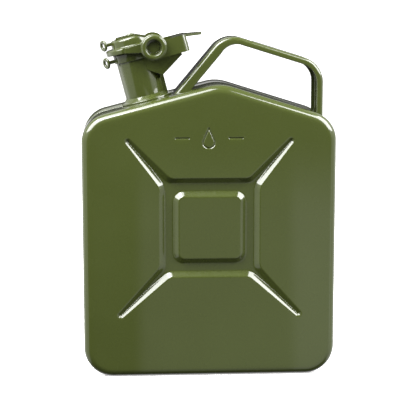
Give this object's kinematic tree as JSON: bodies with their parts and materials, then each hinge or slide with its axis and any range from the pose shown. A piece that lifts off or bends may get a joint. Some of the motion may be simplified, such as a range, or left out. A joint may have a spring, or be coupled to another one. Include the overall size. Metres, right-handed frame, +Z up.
{
  "type": "jerry can",
  "caption": "Pressed-steel fuel can with a pressed cross on each face, a strap handle and a hinged lever cap on a slanted neck.",
  "frame": {"origin": "middle of the base, on the surface that the can stands on", "axes": "+Z up, +X across the can from the neck towards the handle's upright leg, the front face looks along -Y"},
  "size_m": [0.24, 0.096, 0.3267],
  "materials": {
    "enamel": "gloss olive-green enamel, worn thin on edges",
    "bare_steel": "plain zinc-coated steel",
    "seal_rubber": "matt fuel-proof rubber"
  },
  "bodies": {
    "can": {"front_shell": "enamel", "rear_shell": "enamel", "handle": "enamel", "neck": "enamel", "neck_collar": "enamel", "foot_ring": "enamel", "vent_tube": "bare_steel", "hinge_bracket": "enamel", "hinge_pin": "bare_steel", "neck_eye": "enamel"},
    "cap": {"cap_pan": "enamel", "crown_plate": "enamel", "front_cap_arm": "enamel", "rear_cap_arm": "enamel", "gasket": "seal_rubber", "seal_plate": "bare_steel", "cap_rivet": "enamel", "cap_eye": "enamel", "front_trunnion": "enamel", "rear_trunnion": "enamel"},
    "lever": {"lever": "enamel", "front_bearing": "enamel", "rear_bearing": "enamel"}
  },
  "joints": [
    {"name": "cap_hinge", "type": "hinge", "parent": "can", "child": "cap", "pos_m": [-0.02935, 0, 0.31296], "axis": [0, 1, 0], "range_deg": [0, 100]},
    {"name": "lever_pivot", "type": "hinge", "parent": "cap", "child": "lever", "pos_m": [-0.0514, 0, 0.31312], "axis": [0, 1, 0], "range_deg": [-90, 0]}
  ],
  "couplings": [
    {"joint": "lever_pivot", "follows": "cap_hinge", "ratio": -0.9}
  ]
}
